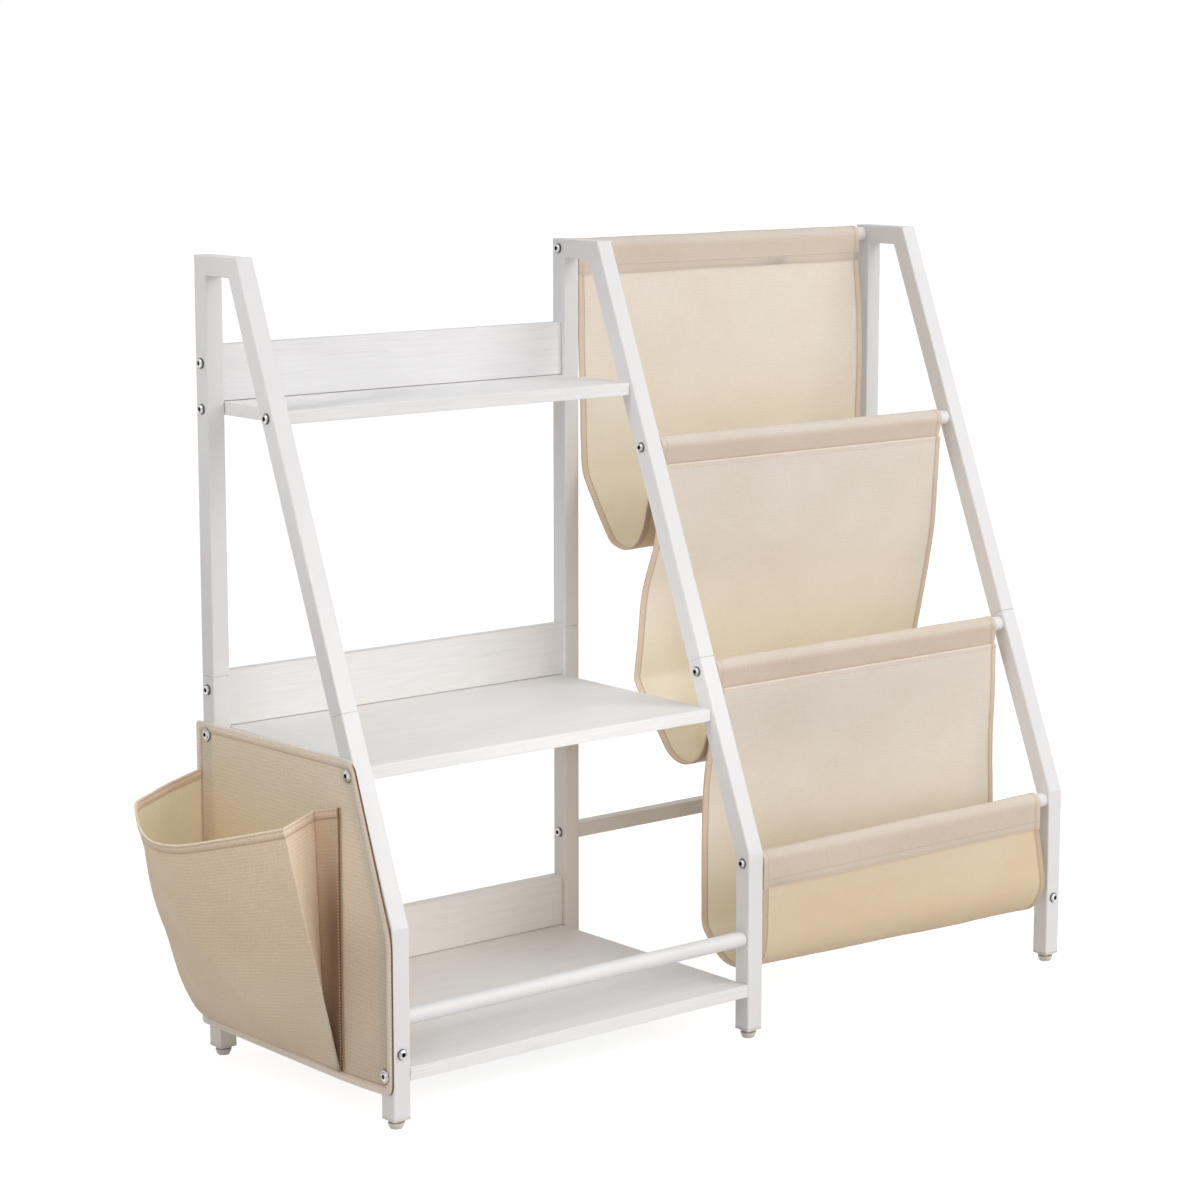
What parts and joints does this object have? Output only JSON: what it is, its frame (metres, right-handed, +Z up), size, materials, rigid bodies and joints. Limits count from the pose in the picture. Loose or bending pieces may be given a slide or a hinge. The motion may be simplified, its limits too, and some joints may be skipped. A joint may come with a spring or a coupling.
{
  "type": "sling bookshelf",
  "caption": "Children's bookshelf: A-shaped square-tube side frames, board shelves on one side, hanging canvas book pockets on the other, and a canvas bag on the end.",
  "frame": {"origin": "on the floor, under the middle of the bounding box of the whole bookshelf with its bag", "axes": "+X along the width, from the shelves' end with the bag to the end with the cloth pockets; +Y from the front to the rear; +Z up"},
  "size_m": [1.0484, 0.337, 0.809],
  "materials": {
    "powder_coat": "white powder coat, satin",
    "board": "white laminate with a faint straight grain, satin",
    "canvas": "beige canvas, matt",
    "bag_canvas": "beige canvas, matt",
    "bare_steel": "bare steel",
    "screw_steel": "bright plated",
    "plastic": "moulded, matt"
  },
  "bodies": {
    "bookshelf": {"backboard_lower": "board", "backboard_middle": "board", "backboard_upper": "board", "end_plug_front_left": "plastic", "end_plug_front_middle": "plastic", "end_plug_front_right": "plastic", "end_plug_rear_left": "plastic", "end_plug_rear_middle": "plastic", "end_plug_rear_right": "plastic", "frame_connector_front_left": "bare_steel", "frame_connector_front_middle": "bare_steel", "frame_connector_front_right": "bare_steel", "frame_connector_rear_left": "bare_steel", "frame_connector_rear_middle": "bare_steel", "frame_connector_rear_right": "bare_steel", "frame_upper_left": "powder_coat", "frame_upper_middle": "powder_coat", "frame_upper_right": "powder_coat", "front_leg_left": "powder_coat", "front_leg_middle": "powder_coat", "front_leg_right": "powder_coat", "front_rail": "powder_coat", "leg_screw_left": "screw_steel", "leg_screw_right": "screw_steel", "pocket_bag": "bag_canvas", "pocket_panel": "bag_canvas", "rear_crossbar": "powder_coat", "rear_leg_left": "powder_coat", "rear_leg_middle": "powder_coat", "rear_leg_right": "powder_coat", "screw_backboard_middle": "screw_steel", "screw_backboard_upper": "screw_steel", "screw_crossbar": "screw_steel", "screw_pocket_bottom_front": "screw_steel", "screw_pocket_bottom_rear": "screw_steel", "screw_pocket_top_front": "screw_steel", "screw_pocket_top_rear": "screw_steel", "screw_rod_front": "screw_steel", "screw_rod_second": "screw_steel", "screw_rod_third": "screw_steel", "screw_rod_top": "screw_steel", "screw_shelf_upper_front": "screw_steel", "screw_shelf_upper_rear": "screw_steel", "shelf_lower": "board", "shelf_middle": "board", "shelf_upper": "board", "sling_lower": "canvas", "sling_middle": "canvas", "sling_rod_front": "powder_coat", "sling_rod_second": "powder_coat", "sling_rod_third": "powder_coat", "sling_rod_top": "powder_coat", "sling_upper": "canvas"},
    "levelling_foot_front_left": {"levelling_foot_front_left": "plastic"},
    "levelling_foot_front_middle": {"levelling_foot_front_middle": "plastic"},
    "levelling_foot_front_right": {"levelling_foot_front_right": "plastic"},
    "levelling_foot_rear_left": {"levelling_foot_rear_left": "plastic"},
    "levelling_foot_rear_middle": {"levelling_foot_rear_middle": "plastic"},
    "levelling_foot_rear_right": {"levelling_foot_rear_right": "plastic"}
  },
  "joints": [
    {"name": "foot_thread_front_left", "type": "slide", "parent": "bookshelf", "child": "levelling_foot_front_left", "axis": [0, 0, -1], "range_m": [0, 0.01]},
    {"name": "foot_thread_front_middle", "type": "slide", "parent": "bookshelf", "child": "levelling_foot_front_middle", "axis": [0, 0, -1], "range_m": [0, 0.01]},
    {"name": "foot_thread_front_right", "type": "slide", "parent": "bookshelf", "child": "levelling_foot_front_right", "axis": [0, 0, -1], "range_m": [0, 0.01]},
    {"name": "foot_thread_rear_left", "type": "slide", "parent": "bookshelf", "child": "levelling_foot_rear_left", "axis": [0, 0, -1], "range_m": [0, 0.01]},
    {"name": "foot_thread_rear_middle", "type": "slide", "parent": "bookshelf", "child": "levelling_foot_rear_middle", "axis": [0, 0, -1], "range_m": [0, 0.01]},
    {"name": "foot_thread_rear_right", "type": "slide", "parent": "bookshelf", "child": "levelling_foot_rear_right", "axis": [0, 0, -1], "range_m": [0, 0.01]}
  ]
}
